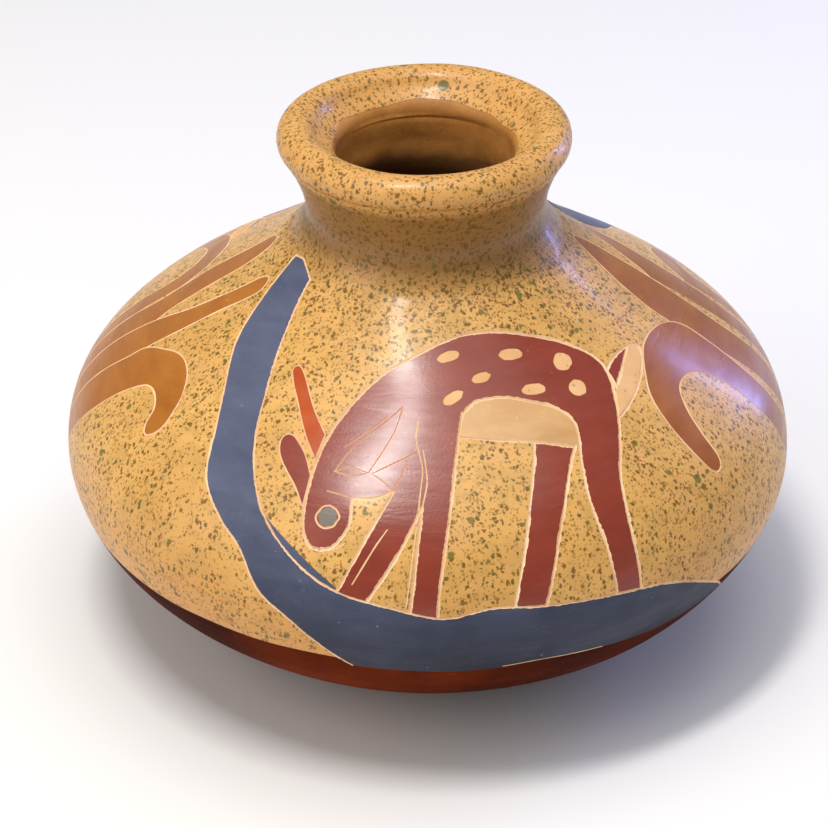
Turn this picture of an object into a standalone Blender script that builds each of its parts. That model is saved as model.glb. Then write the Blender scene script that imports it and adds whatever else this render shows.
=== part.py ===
"""A wide-shouldered earthenware vase, built up from turned clay sections.

Five sections make the wall: foot disc, lower wall, shoulder, neck collar and lip roll. Each seam is a
bevelled lap, so that an upper section centres itself on the one below and slip fills the gap. A coil of
clay is worked into the inner angle of each seam of the body.

Metres, +Z up. The origin is the middle of the foot's flat underside.
"""

import math

import bmesh
import bpy
from mathutils import Vector
from mathutils.geometry import interpolate_bezier

# Driving dimensions of the outer shape
BELLY_RADIUS = 0.095
BELLY_HEIGHT = 0.050
BOWL_DEPTH = 0.055
BOWL_POWER = 1.8
BELLY_HANDLE = 0.0185
SHOULDER_RADIUS = 0.059
SHOULDER_HEIGHT = 0.091
SHOULDER_SLOPE = math.radians(32)
SHOULDER_HANDLE_BELOW = 0.0255
SHOULDER_HANDLE_ABOVE = 0.0125
WAIST_RADIUS = 0.0305
WAIST_HEIGHT = 0.117
WAIST_HANDLE_BELOW = 0.0085
WAIST_HANDLE_ABOVE = 0.004
LIP_RADIUS = 0.032
LIP_HEIGHT = 0.1347
LIP_ROLL = 0.0048
LIP_UNDERSIDE = math.radians(-35)
LIP_INSIDE = math.radians(150)
LIP_HANDLE_BELOW = 0.006
LIP_HANDLE_INSIDE = 0.0035

# Wall, floor and throat
BODY_WALL = 0.0065
FLOOR_THICKNESS = 0.007
THROAT_RADIUS = 0.0225
THROAT_TOP = 0.130
THROAT_HANDLE = 0.004

# Seams: height of each lap on the outside and on the inside of the wall
FOOT_SEAM = (0.0012, FLOOR_THICKNESS)
BELLY_SEAM = (0.0414, 0.048)
NECK_SEAM = (0.117, 0.108)
LIP_SEAM = (0.1302, 0.129)
SLIP_GAP = 0.0003

# Reinforcing coils
BODY_COIL = 0.003
NECK_COIL = 0.002

# Fineness of the turned surfaces
FACETS = 48
COIL_SIDES = 8
SHARP_EDGE = math.radians(40)

# Base colours, linear, and how rough each surface is
BURNISHED_OCHRE = (0.66, 0.41, 0.15)
BURNISHED_LIP = (0.66, 0.36, 0.12)
BURNISHED_RED = (0.16, 0.025, 0.012)
RAW_CLAY = (0.40, 0.19, 0.08)
BURNISHED_ROUGHNESS = 0.35
RAW_ROUGHNESS = 0.85


def direction(angle):
    """The unit vector (outward, up) at this angle above the horizontal."""
    return Vector((math.cos(angle), math.sin(angle)))


def curve(start, start_handle, end_handle, end, steps):
    """A Bezier curve in the (radius, height) plane, as steps + 1 points."""
    return interpolate_bezier(start, start + start_handle, end + end_handle, end, steps + 1)


def bowl_curve(steps):
    """The lower wall's outside, from the foot's edge up to the belly."""
    points = []
    for step in range(steps + 1):
        drop = BELLY_HEIGHT * math.cos(math.pi / 2 * step / steps)
        radius = BELLY_RADIUS * math.sqrt(1 - (drop / BOWL_DEPTH) ** BOWL_POWER)
        points.append(Vector((radius, BELLY_HEIGHT - drop)))
    return points


def outside_curve():
    """The outside of the wall from the foot's edge to the underside of the lip roll."""
    belly = Vector((BELLY_RADIUS, BELLY_HEIGHT))
    shoulder = Vector((SHOULDER_RADIUS, SHOULDER_HEIGHT))
    waist = Vector((WAIST_RADIUS, WAIST_HEIGHT))
    lip_underside = lip_point(LIP_UNDERSIDE)
    up = Vector((0, 1))
    climb = direction(math.pi - SHOULDER_SLOPE)
    flare = direction(LIP_UNDERSIDE + math.pi / 2)
    points = bowl_curve(steps=8)
    points += curve(belly, up * BELLY_HANDLE, -climb * SHOULDER_HANDLE_BELOW, shoulder, steps=8)[1:]
    points += curve(shoulder, climb * SHOULDER_HANDLE_ABOVE, -up * WAIST_HANDLE_BELOW, waist, steps=5)[1:]
    points += curve(waist, up * WAIST_HANDLE_ABOVE, -flare * LIP_HANDLE_BELOW, lip_underside, steps=5)[1:]
    return points


def lip_point(angle):
    """A point on the round of the lip roll."""
    return Vector((LIP_RADIUS, LIP_HEIGHT)) + LIP_ROLL * direction(angle)


def lip_curve():
    """Over the lip roll from its underside, and down the funnel of the mouth to the throat."""
    steps = 8
    turn = LIP_INSIDE - LIP_UNDERSIDE
    points = [lip_point(LIP_UNDERSIDE + turn * step / steps) for step in range(1, steps + 1)]
    inward = direction(LIP_INSIDE + math.pi / 2) * LIP_HANDLE_INSIDE
    throat = Vector((THROAT_RADIUS, THROAT_TOP))
    return points + curve(points[-1], inward, Vector((0, THROAT_HANDLE)), throat, steps=4)[1:]


def wall_at(height):
    """Wall thickness: even up the body, and growing from the shoulder to the waist of the neck."""
    rise = (height - SHOULDER_HEIGHT) / (WAIST_HEIGHT - SHOULDER_HEIGHT)
    neck_wall = WAIST_RADIUS - THROAT_RADIUS
    return BODY_WALL + (neck_wall - BODY_WALL) * min(max(rise, 0), 1)


def inside_curve(outside):
    """The inside of the wall from the floor up to the top of the throat."""
    points = []
    for below, here, above in zip(outside[:1] + outside, outside, outside[1:]):
        if here.y < WAIST_HEIGHT:
            along = (above - below).normalized()
            inward = Vector((-along.y, along.x))
            points.append(here + inward * wall_at(here.y))
    points.append(Vector((THROAT_RADIUS, WAIST_HEIGHT)))
    points.append(Vector((THROAT_RADIUS, THROAT_TOP)))
    return points


def at_height(points, height):
    """The point where this rising curve passes a height."""
    for low, high in zip(points, points[1:]):
        if low.y <= height <= high.y:
            return low.lerp(high, (height - low.y) / (high.y - low.y))
    raise ValueError(f"the curve does not reach {height}")


def stretch(points, low, high):
    """The part of a rising curve between two heights."""
    between = [point for point in points if low < point.y < high]
    return [at_height(points, low), *between, at_height(points, high)]


def seam_faces(seam, outside, inside):
    """The heights (outside, inside) of the faces just below and just above a seam's slip."""
    lap = at_height(inside, seam[1]) - at_height(outside, seam[0])
    shift = SLIP_GAP / 2 * lap.length / abs(lap.x)
    return [height - shift for height in seam], [height + shift for height in seam]


def turned(name, profile, colour, roughness):
    """A solid of revolution about Z. A profile that starts on the axis is a disc, any other is a ring."""
    shape = bmesh.new()
    points = [shape.verts.new((point.x, 0, point.y)) for point in profile]
    on_axis = profile[0].x == 0
    ends = zip(points, points[1:]) if on_axis else zip(points, points[1:] + points[:1])
    edges = [shape.edges.new(pair) for pair in ends]
    bmesh.ops.spin(
        shape,
        geom=points + edges,
        cent=(0, 0, 0),
        axis=(0, 0, 1),
        angle=2 * math.pi,
        steps=FACETS,
        use_merge=True,
    )
    bmesh.ops.remove_doubles(shape, verts=shape.verts, dist=1e-6)
    bmesh.ops.recalc_face_normals(shape, faces=shape.faces)
    mesh = bpy.data.meshes.new(name)
    shape.to_mesh(mesh)
    shape.free()
    mesh.shade_smooth()
    mesh.set_sharp_from_angle(angle=SHARP_EDGE)
    mesh.materials.append(clay(name, colour, roughness))
    solid = bpy.data.objects.new(name, mesh)
    bpy.context.scene.collection.objects.link(solid)
    return solid


def clay(name, colour, roughness):
    material = bpy.data.materials.new(name)
    material.use_nodes = True
    surface = material.node_tree.nodes["Principled BSDF"]
    surface.inputs["Base Color"].default_value = (*colour, 1)
    surface.inputs["Roughness"].default_value = roughness
    surface.inputs["Metallic"].default_value = 0
    return material


def foot_disc(outside, inside):
    """The flat slab that the vase stands on, with its rim bevelled to carry the lower wall."""
    top, _ = seam_faces(FOOT_SEAM, outside, inside)
    rim = at_height(inside, top[1])
    edge = stretch(outside, 0, top[0])
    profile = [Vector((0, rim.y)), rim, *reversed(edge), Vector((0, 0))]
    return turned("foot_disc", profile, BURNISHED_RED, BURNISHED_ROUGHNESS)


def wall_section(name, low_seam, high_seam, outside, inside, colour):
    """A ring of the wall between two seams."""
    _, low = seam_faces(low_seam, outside, inside)
    high, _ = seam_faces(high_seam, outside, inside)
    outer = stretch(outside, low[0], high[0])
    inner = stretch(inside, low[1], high[1])
    return turned(name, [*reversed(outer), *inner], colour, BURNISHED_ROUGHNESS)


def lip_roll(outside, inside):
    """The rolled lip, which closes the wall and forms the funnel of the mouth."""
    _, low = seam_faces(LIP_SEAM, outside, inside)
    underside = stretch(outside, low[0], outside[-1].y)
    profile = [*underside, *lip_curve(), at_height(inside, low[1])]
    return turned("lip_roll", profile, BURNISHED_LIP, BURNISHED_ROUGHNESS)


def luting_coil(name, inside, seam, radius, inward):
    """A round coil of clay laid against the inside of a seam, clear of the faces that meet there."""
    centre = at_height(inside, seam[1]) + inward * (radius + SLIP_GAP) / inward.length_squared
    turns = [2 * math.pi * side / COIL_SIDES for side in range(COIL_SIDES)]
    profile = [centre + radius * direction(turn) for turn in turns]
    return turned(name, profile, RAW_CLAY, RAW_ROUGHNESS)


def inward_at(points, height):
    """The unit vector that points into the vase from the inside of the wall."""
    reach = BODY_WALL / 2
    along = at_height(points, height + reach) - at_height(points, max(height - reach, points[0].y))
    return Vector((-along.y, along.x)).normalized()


def build():
    for leftover in list(bpy.data.objects):
        bpy.data.objects.remove(leftover)
    outside = outside_curve()
    inside = inside_curve(outside)
    foot_disc(outside, inside)
    wall_section("lower_wall", FOOT_SEAM, BELLY_SEAM, outside, inside, BURNISHED_RED)
    wall_section("shoulder", BELLY_SEAM, NECK_SEAM, outside, inside, BURNISHED_OCHRE)
    wall_section("neck_collar", NECK_SEAM, LIP_SEAM, outside, inside, BURNISHED_OCHRE)
    lip_roll(outside, inside)
    up_the_middle = (Vector((0, 1)) + inward_at(inside, FOOT_SEAM[1])) / 2
    luting_coil("foot_luting_coil", inside, FOOT_SEAM, BODY_COIL, up_the_middle)
    luting_coil("belly_luting_coil", inside, BELLY_SEAM, BODY_COIL, inward_at(inside, BELLY_SEAM[1]))
    luting_coil("neck_luting_coil", inside, NECK_SEAM, NECK_COIL, inward_at(inside, NECK_SEAM[1]))


build()
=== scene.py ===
"""Looks of the slip-painted earthenware vase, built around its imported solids.

The clay itself is five turned sections and three coils. Over it lies a coat of coloured slips, about a
millimetre thick here. The coat is one triangulation of the outside surface, cut along the painter's
outlines, and each slip colour becomes closed pieces that share their borders. The incised lines are real
grooves between them.

A place on the surface is (azimuth in degrees, arc in millimetres). Azimuth 0 faces the main panel (-Y) and
grows towards +X. The arc runs up the outside curve from the belly line.
"""

import math
import random
from collections import defaultdict

import bpy
import numpy as np
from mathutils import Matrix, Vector
from mathutils.geometry import delaunay_2d_cdt, interpolate_bezier
from mathutils.kdtree import KDTree


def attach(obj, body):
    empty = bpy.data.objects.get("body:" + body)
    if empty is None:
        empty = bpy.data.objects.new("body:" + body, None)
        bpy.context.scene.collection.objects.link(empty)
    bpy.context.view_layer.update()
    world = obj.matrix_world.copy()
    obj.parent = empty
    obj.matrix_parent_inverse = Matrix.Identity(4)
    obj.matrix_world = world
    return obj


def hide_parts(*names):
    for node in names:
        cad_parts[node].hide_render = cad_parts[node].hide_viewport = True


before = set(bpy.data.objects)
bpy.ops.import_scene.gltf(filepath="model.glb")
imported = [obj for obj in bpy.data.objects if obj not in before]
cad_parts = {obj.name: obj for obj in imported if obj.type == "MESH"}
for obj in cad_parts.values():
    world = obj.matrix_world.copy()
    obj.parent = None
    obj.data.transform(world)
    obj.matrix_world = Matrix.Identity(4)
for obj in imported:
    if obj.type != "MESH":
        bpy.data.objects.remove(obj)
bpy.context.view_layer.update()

MM = 0.001
chance = random.Random(7)

# ---------------------------------------------------------------- the shape of the clay body, in metres

BELLY_RADIUS = 0.095
BELLY_HEIGHT = 0.050
BOWL_DEPTH = 0.055
BOWL_POWER = 1.8
BELLY_HANDLE = 0.0185
SHOULDER_RADIUS = 0.059
SHOULDER_HEIGHT = 0.091
SHOULDER_SLOPE = math.radians(32)
SHOULDER_HANDLE_BELOW = 0.0255
SHOULDER_HANDLE_ABOVE = 0.0125
WAIST_RADIUS = 0.0305
WAIST_HEIGHT = 0.117
WAIST_HANDLE_BELOW = 0.0085
WAIST_HANDLE_ABOVE = 0.004
LIP_RADIUS = 0.032
LIP_HEIGHT = 0.1347
LIP_ROLL = 0.0048
LIP_UNDERSIDE = math.radians(-35)
LIP_INSIDE = math.radians(150)
LIP_HANDLE_BELOW = 0.006
LIP_HANDLE_INSIDE = 0.0035
BODY_WALL = 0.0065
FLOOR_THICKNESS = 0.007
THROAT_RADIUS = 0.0225
THROAT_TOP = 0.130
THROAT_HANDLE = 0.004
FOOT_SEAM = (0.0012, FLOOR_THICKNESS)
BELLY_SEAM = (0.0414, 0.048)
NECK_SEAM = (0.117, 0.108)
LIP_SEAM = (0.1302, 0.129)
BODY_COIL = 0.003
NECK_COIL = 0.002
COIL_GAP = 0.0003
NECK_LEAN = -0.0010
BARE_FOOT_RIM = 0.0360

# The crease in the back of the throat: azimuth, half width in degrees, half height and depth
THROAT_CREASE = (178, 32, 0.0005, 0.0003)
FINGER_MARKS_FADE = 0.006
FOOT_SWIRL = 0.0003

# Fineness: steps in each curve, points round each piece, and rings of the foot as shares of its radius
CURVE_STEPS = 160
AROUND = 192
COIL_AROUND, COIL_SIDES = 144, 14
FOOT_UNDERSIDE = (0.25, 0.5, 0.75, 0.95, 1)
FOOT_TOP = (1, 0.75, 0.5, 0.25)


def direction(angle):
    return Vector((math.cos(angle), math.sin(angle)))


def curve(start, start_handle, end_handle, end):
    return interpolate_bezier(start, start + start_handle, end + end_handle, end, CURVE_STEPS + 1)


def lip_point(angle):
    return Vector((LIP_RADIUS, LIP_HEIGHT)) + LIP_ROLL * direction(angle)


def outside_stretches():
    """The outside of the vase as smooth stretches, from its foot over the lip and down to the throat."""
    belly = Vector((BELLY_RADIUS, BELLY_HEIGHT))
    shoulder = Vector((SHOULDER_RADIUS, SHOULDER_HEIGHT))
    waist = Vector((WAIST_RADIUS, WAIST_HEIGHT))
    up = Vector((0, 1))
    climb = direction(math.pi - SHOULDER_SLOPE)
    flare = direction(LIP_UNDERSIDE + math.pi / 2)
    bowl = [Vector((BARE_FOOT_RIM, 0))]
    for step in range(CURVE_STEPS + 1):
        drop = BELLY_HEIGHT * math.cos(math.pi / 2 * step / CURVE_STEPS)
        radius = BELLY_RADIUS * math.sqrt(1 - (drop / BOWL_DEPTH) ** BOWL_POWER)
        bowl.append(Vector((radius, BELLY_HEIGHT - drop)))
    inward = direction(LIP_INSIDE + math.pi / 2) * LIP_HANDLE_INSIDE
    throat = Vector((THROAT_RADIUS, THROAT_TOP))
    turn = LIP_INSIDE - LIP_UNDERSIDE
    return [
        bowl,
        curve(belly, up * BELLY_HANDLE, -climb * SHOULDER_HANDLE_BELOW, shoulder),
        curve(shoulder, climb * SHOULDER_HANDLE_ABOVE, -up * WAIST_HANDLE_BELOW, waist),
        curve(waist, up * WAIST_HANDLE_ABOVE, -flare * LIP_HANDLE_BELOW, lip_point(LIP_UNDERSIDE)),
        [lip_point(LIP_UNDERSIDE + turn * step / CURVE_STEPS) for step in range(CURVE_STEPS + 1)],
        curve(lip_point(LIP_INSIDE), inward, Vector((0, THROAT_HANDLE)), throat),
    ]


def running_total(steps):
    return np.concatenate([[0], np.cumsum(steps)])


STRETCHES = outside_stretches()
LINE = np.array([*STRETCHES[0], *(point for part in STRETCHES[1:] for point in part[1:])])
KNOTS = np.cumsum([len(part) - 1 for part in STRETCHES])
ARC = running_total(np.hypot(*np.diff(LINE, axis=0).T)) / MM
ARC -= ARC[KNOTS[0]]
ARC_FOOT = ARC[0]
ARC_WAIST, ARC_UNDER_LIP, ARC_LIP_END, ARC_THROAT = ARC[KNOTS[2:]]
TILT = np.gradient(LINE, ARC, axis=0)
TILT /= np.hypot(*TILT.T)[:, None]
CONFORMAL = running_total(np.diff(ARC) * MM / ((LINE[1:, 0] + LINE[:-1, 0]) / 2))
CONFORMAL -= np.interp(0, ARC, CONFORMAL)

# Arc, half width in mm and depth in metres
CREASES = (
    (ARC_UNDER_LIP - 0.5, 0.9, 0.00060),
    (ARC_UNDER_LIP - 4.2, 0.8, 0.00022),
    (ARC_WAIST - 9.5, 2.2, 0.00035),
)


def radius_at(arc):
    return np.interp(arc, ARC, LINE[:, 0])


def height_at(arc):
    return np.interp(arc, ARC, LINE[:, 1])


def arc_at_height(height):
    """The arc where the rising part of the outside passes a height."""
    rising = slice(0, KNOTS[3] + 1)
    return float(np.interp(height, LINE[rising, 1], ARC[rising]))


def azimuths(count):
    return -180 + np.arange(count) * 360 / count


def wrap(azimuth):
    return (np.asarray(azimuth) + 180) % 360 - 180


def waves(turn, *terms):
    """What a hand leaves uneven: a sum of waves, each given as (size, count in a full turn, start)."""
    return sum(size * np.sin(count * turn + start) for size, count, start in terms)


def bell(distance, width):
    return np.exp(-((distance / width) ** 2))


def ease(share):
    """From 0 to 1 with a soft start and end, held outside them."""
    share = np.clip(share, 0, 1)
    return share * share * (3 - 2 * share)


def relief(azimuth, arc):
    """How far the hand-made surface stands off the true turned one, in metres."""
    turn = np.radians(azimuth)
    wave = waves(
        turn,
        (0.16, 2, 0.9 + arc / 41),
        (0.11, 3, -0.4 - arc / 23),
        (0.07, 5, 2.1 + arc / 13),
        (0.05, 7, arc / 9),
    )
    wave += 0.05 * np.sin(arc / 4.1 + 2 * np.sin(turn + 1.0))
    creases = sum(depth * bell(arc - place, width) for place, width, depth in CREASES)
    return wave * MM * np.clip((arc - ARC_FOOT) / 12, 0, 1) - creases


def lean(height):
    """The neck stands a little to the left of the body's axis."""
    return NECK_LEAN * ease((height - SHOULDER_HEIGHT) / (LIP_HEIGHT - SHOULDER_HEIGHT))


def round_axis(turn, radius, height):
    """Points round the axis of the vase, where the neck leans it too."""
    return np.stack([radius * np.sin(turn) + lean(height), -radius * np.cos(turn), turn * 0 + height], -1)


def surface(azimuth, arc, depth=0.0):
    """Points on the outside surface, or this far under it, as an array of x, y, z."""
    azimuth, arc = np.broadcast_arrays(np.asarray(azimuth, float), np.asarray(arc, float))
    out, up = (np.interp(arc, ARC, TILT[:, axis]) for axis in (0, 1))
    off = relief(azimuth, arc) - depth
    return round_axis(np.radians(azimuth), radius_at(arc) + up * off, height_at(arc) - out * off)


def surface_normal(azimuth, arc, step=0.25):
    """The outward unit normal of the surface, from places this many mm to all sides."""
    reach = np.degrees(step * MM / radius_at(arc))
    across = surface(azimuth + reach, arc) - surface(azimuth - reach, arc)
    upward = surface(azimuth, np.minimum(arc + step, ARC_THROAT)) - surface(azimuth, arc - step)
    normal = np.cross(across, upward)
    return normal / np.linalg.norm(normal, axis=-1)[..., None]


# ---------------------------------------------------------------- the clay's meshes


def link(name, data):
    item = bpy.data.objects.new(name, data)
    bpy.context.scene.collection.objects.link(item)
    return item


def add_piece(name, points, faces, look, replaced=(), sharp=None):
    """A new mesh object. A look is a material and the name of its slot, which is not used, and sharp is in
    degrees.
    """
    material, slot = look
    mesh = bpy.data.meshes.new(name)
    mesh.from_pydata([tuple(point) for point in points], [], [tuple(map(int, face)) for face in faces])
    mesh.shade_smooth()
    if sharp is not None:
        mesh.set_sharp_from_angle(angle=math.radians(sharp))
    mesh.materials.append(material)
    piece = link(name, mesh)
    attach(piece, "root")
    if replaced:
        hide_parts(*replaced)
    return piece


def ring_faces(rows, around, closed=True):
    """Quads from each row of points round the vase to the next, and if closed, from the last to the first."""
    faces = []
    for row in range(rows if closed else rows - 1):
        low, high = row * around, (row + 1) % rows * around
        for step in range(around):
            right = (step + 1) % around
            faces.append((low + step, low + right, high + right, high + step))
    return faces


def inside_line():
    """The inside of the wall, as (radius, height) from the floor to the top of the throat."""
    rising = LINE[1 : KNOTS[2] + 1]
    along = TILT[1 : KNOTS[2] + 1]
    rise = np.clip((rising[:, 1] - SHOULDER_HEIGHT) / (WAIST_HEIGHT - SHOULDER_HEIGHT), 0, 1)
    wall = BODY_WALL + (WAIST_RADIUS - THROAT_RADIUS - BODY_WALL) * rise
    line = rising + np.stack([-along[:, 1], along[:, 0]], -1) * wall[:, None]
    line = line[line[:, 1] < WAIST_HEIGHT - 0.002]
    return np.vstack([line, [(THROAT_RADIUS, WAIST_HEIGHT), (THROAT_RADIUS, THROAT_TOP)]])


INSIDE = inside_line()


def inside_radius(height):
    return float(np.interp(height, INSIDE[:, 1], INSIDE[:, 0]))


def evenly(low, high, spacing, fewest):
    return np.linspace(low, high, max(fewest, round((high - low) / spacing) + 1))


def finger_marks(azimuth, height):
    """The potter's finger ridges on the inside, and one crease in the back of the throat, in metres."""
    turn = np.radians(azimuth)
    rise = height / MM
    wave = waves(turn, (0.22, 3, rise / 7), (0.1, 8, -rise / 4))
    wave += 0.18 * np.sin(rise / 1.9 + 1.5 * np.sin(turn))
    place, width, reach, depth = THROAT_CREASE
    crease = depth * bell(wrap(azimuth - place), width) * bell(height - LIP_SEAM[1], reach)
    return wave * MM * np.clip((LIP_SEAM[1] - height) / FINGER_MARKS_FADE, 0, 1) + crease


def ring_piece(name, outer_arcs, inner_heights, look, solid):
    """A closed ring of wall: up its outside under the slip, then down its inside."""
    azimuth = azimuths(AROUND)
    rows = [surface(azimuth, arc, coat_depth(arc) - COAT_LAP) for arc in outer_arcs]
    for height in reversed(inner_heights):
        radius = inside_radius(height) + finger_marks(azimuth, height)
        rows.append(round_axis(np.radians(azimuth), radius, height))
    add_piece(name, np.concatenate(rows), ring_faces(len(rows), AROUND), look, [solid], sharp=50)


def foot_piece(name, look, solid):
    """The slab under the vase: a disc whose rim carries the wall."""
    azimuth = azimuths(AROUND)
    turn = np.radians(azimuth)
    rim = inside_radius(FOOT_SEAM[1])
    rows = [round_axis(turn, share * BARE_FOOT_RIM, 0) for share in FOOT_UNDERSIDE]
    for arc in np.linspace(ARC_FOOT, arc_at_height(FOOT_SEAM[0]), 5):
        rows.append(surface(azimuth, arc, COAT - COAT_LAP))
    for share in FOOT_TOP:
        swirl = FOOT_SWIRL * np.sin(turn + 14 * share) * (share < 1)
        rows.append(round_axis(turn, share * rim, FOOT_SEAM[1] + swirl))
    points = np.vstack([np.concatenate(rows), [(0, 0, 0), (0, 0, FOOT_SEAM[1])]])
    faces = ring_faces(len(rows), AROUND, closed=False)
    bottom, top = len(points) - 2, len(points) - 1
    last = (len(rows) - 1) * AROUND
    for step in range(AROUND):
        right = (step + 1) % AROUND
        faces += [(bottom, right, step), (top, last + step, last + right)]
    add_piece(name, points, faces, look, [solid], sharp=40)


def inward_at(height):
    """The unit vector that points into the vase from the inside of the wall."""
    low, high = max(height - BODY_WALL / 2, INSIDE[0, 1]), height + BODY_WALL / 2
    return Vector((low - high, inside_radius(high) - inside_radius(low))).normalized()


def coil_piece(name, seam_height, radius, inward, look, solid):
    """A coil of clay pressed into the inside of a seam, a little uneven."""
    at = Vector((inside_radius(seam_height), seam_height))
    centre = at + inward * (radius + COIL_GAP) / inward.length_squared
    turn = np.radians(azimuths(COIL_AROUND))
    rows = []
    for side in range(COIL_SIDES):
        angle = 2 * math.pi * side / COIL_SIDES
        swell = 1 + waves(turn, (0.05, 9, angle), (0.04, 17, 2 * angle))
        out, up = (radius * part * swell for part in direction(angle))
        rows.append(round_axis(turn, centre.x + out, centre.y + up))
    add_piece(name, np.concatenate(rows), ring_faces(COIL_SIDES, COIL_AROUND), look, [solid])


def build_clay(look):
    foot_piece("foot_slab_clay", look, "foot_disc")
    for name, solid, below, above, outer_spacing, inner_spacing in (
        ("lower_wall_clay", "lower_wall", FOOT_SEAM, BELLY_SEAM, 2.5, 0.0025),
        ("shoulder_clay", "shoulder", BELLY_SEAM, NECK_SEAM, 2.5, 0.0025),
        ("neck_clay", "neck_collar", NECK_SEAM, LIP_SEAM, 1.2, 0.0007),
    ):
        outer = evenly(arc_at_height(below[0]), arc_at_height(above[0]), outer_spacing, 3)
        ring_piece(name, outer, evenly(below[1], above[1], inner_spacing, 2), look, solid)
    outer = evenly(arc_at_height(LIP_SEAM[0]), ARC_THROAT, 0.8, 3)
    ring_piece("lip_clay", outer, evenly(LIP_SEAM[1], THROAT_TOP - 0.0002, 0.0002, 2)[:-1], look, "lip_roll")
    up_the_middle = (Vector((0, 1)) + inward_at(FOOT_SEAM[1])) / 2
    coil_piece("foot_coil", FOOT_SEAM[1], BODY_COIL, up_the_middle, look, "foot_luting_coil")
    coil_piece("belly_coil", BELLY_SEAM[1], BODY_COIL, inward_at(BELLY_SEAM[1]), look, "belly_luting_coil")
    coil_piece("neck_coil", NECK_SEAM[1], NECK_COIL, inward_at(NECK_SEAM[1]), look, "neck_luting_coil")


# ---------------------------------------------------------------- the painter's outlines

# Control points are (azimuth, arc) places. A CORNER keeps the place before it sharp.
CORNER = None

RIVER_LEFT_BANK = [
    (-66, 76), (-60, 63.5), (-50.5, 50.5), (-45, 40.5), (-40.5, 28.5), (-35, 21), (-29.8, 15.5), (-25.5, 6.5),
    (-19.8, 0), (-11.6, -12.2),
]
RIVER_BED = [(5, -12.8), (20, -11.5), (30, -13.2), (42, -15.2), (54.3, -15.4)]
RIVER_RIGHT_BANK = [
    (50.6, -9.6), (44.7, -3.3), (38.2, 1.7), (30, 4.3), (15.9, 6.3), (9, 7.3), (1.8, 5.4), (-5.3, 7.7),
    (-13.6, 10.5), (-20.5, 16), (-28.2, 26), (-34.8, 40), (-40, 55), (-46.5, 70), (-50.5, 79.5), (-52, 84.5),
]
RIVER_TOP = [(-58, 86.2), (-63, 87.3), (-69, 86.5)]
RIVER = [
    *RIVER_LEFT_BANK, CORNER, *RIVER_BED, CORNER, *RIVER_RIGHT_BANK, CORNER, *RIVER_TOP, CORNER,
]
RIVER_BANKS = [
    *reversed(RIVER_LEFT_BANK), RIVER_TOP[-1], CORNER, *reversed(RIVER_TOP[:-1]),
    RIVER_RIGHT_BANK[-1], CORNER, *reversed(RIVER_RIGHT_BANK[:-1]), RIVER_BED[-1],
]
RIVER_SPILL = [
    (-27, 24.5), CORNER, (-23.4, 21.2), (-19.4, 17.3), (-15.6, 13.4), (-12.5, 10.2), CORNER,
    (-17, 11.5), (-23, 18),
]
RIVER_SCRATCH = [(11, -11.9), (16, -11.2), (21, -11.6), (27, -12.4)]
DEER_BODY = [
    (-21.6, 36), (-21.2, 46), (-18.9, 55.6), (-15, 62.8), (-10, 68.1), (0, 73.5), (10, 76.6), (20, 76.8),
    (30, 74.4), (40, 69.7), (46.6, 63), (47.3, 56.7), (43, 47.8), (37.5, 37.5), (34.3, 30), (32.6, 18.9),
    (32.3, 1), CORNER, (28.3, 1), CORNER, (27.8, 16), (27.4, 28), (29, 38.3), (31.2, 45.5), (31.3, 50),
    (28.5, 54), (24.5, 56.4), (18.5, 59), (11.5, 59), (7.5, 56.1), CORNER, (5.5, 46.7), (3.3, 30),
    (1.5, 13.3), (1, 1), CORNER, (-3.2, 1), CORNER, (-2.2, 16), (-1.3, 32.5), CORNER, (-4.3, 22.2),
    (-8.6, 10.3), (-9.8, 7), CORNER, (-14.7, 7), CORNER, (-13.2, 11.9), (-9.6, 25.2), (-6.3, 36.1), CORNER,
    (-9.5, 33.9), (-13.4, 33.2), CORNER, (-13, 27.2), (-13.9, 23.4), (-15.6, 20.4), (-18.6, 20.2),
    (-20.5, 25),
]
DEER_EAR = [
    (-30.2, 44.4), (-29.2, 45.7), (-27.4, 45.2), (-24.2, 41.7), (-21.8, 37), CORNER, (-21.4, 29), CORNER,
    (-24, 33.6), (-28.2, 38.8), (-29.9, 42),
]
DEER_HORN = [
    (-36.8, 61.8), (-36, 63.2), (-34.2, 62.6), (-30.5, 58.9), (-26, 53.2), (-21.8, 48), CORNER, (-22, 41.2),
    CORNER, (-25.4, 46), (-30.6, 53.8), (-34.6, 58.6),
]
DEER_BELLY = [
    (6.6, 57), CORNER, (18, 60.5), (31, 53.5), CORNER, (31, 45), (29, 42.3), CORNER, (21.5, 46), (14, 48.2),
    (6, 50), CORNER,
]
BELLY_EDGE = [(29, 42.3), (21.5, 46), (14, 48.2), (6, 50)]
DEER_INNER_LEG = [
    (21.3, 46.2), CORNER, (29.2, 42.4), CORNER, (26.5, 37.8), (23.5, 30.6), (20, 20), (16.3, 3), CORNER,
    (11.8, 3), CORNER, (13.3, 13.3), (17, 30.6), (20, 41),
]
TAIL_DARK = [
    (47.6, 57), CORNER, (50.5, 58.4), (55, 59.1), (58.8, 58.9), CORNER, (55, 57.2), (51, 55), (46.2, 52),
    CORNER,
]
TAIL_PALE = [
    (43.5, 48.8), CORNER, (46.2, 52), (51, 55), (55, 57.2), (58.8, 58.9), (60.8, 58.3), (61.6, 56.8),
    CORNER, (60, 55), (54, 50.8), (46, 46.7), (41.3, 44.9), CORNER,
]
TAIL_EDGE = [(61.4, 57.2), (60, 55), (54, 50.8), (46, 46.7), (41.6, 45)]
EYE = (-16.8, 27.8)
EYE_RADIUS, EYE_RING = 2.3, 2.7
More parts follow.
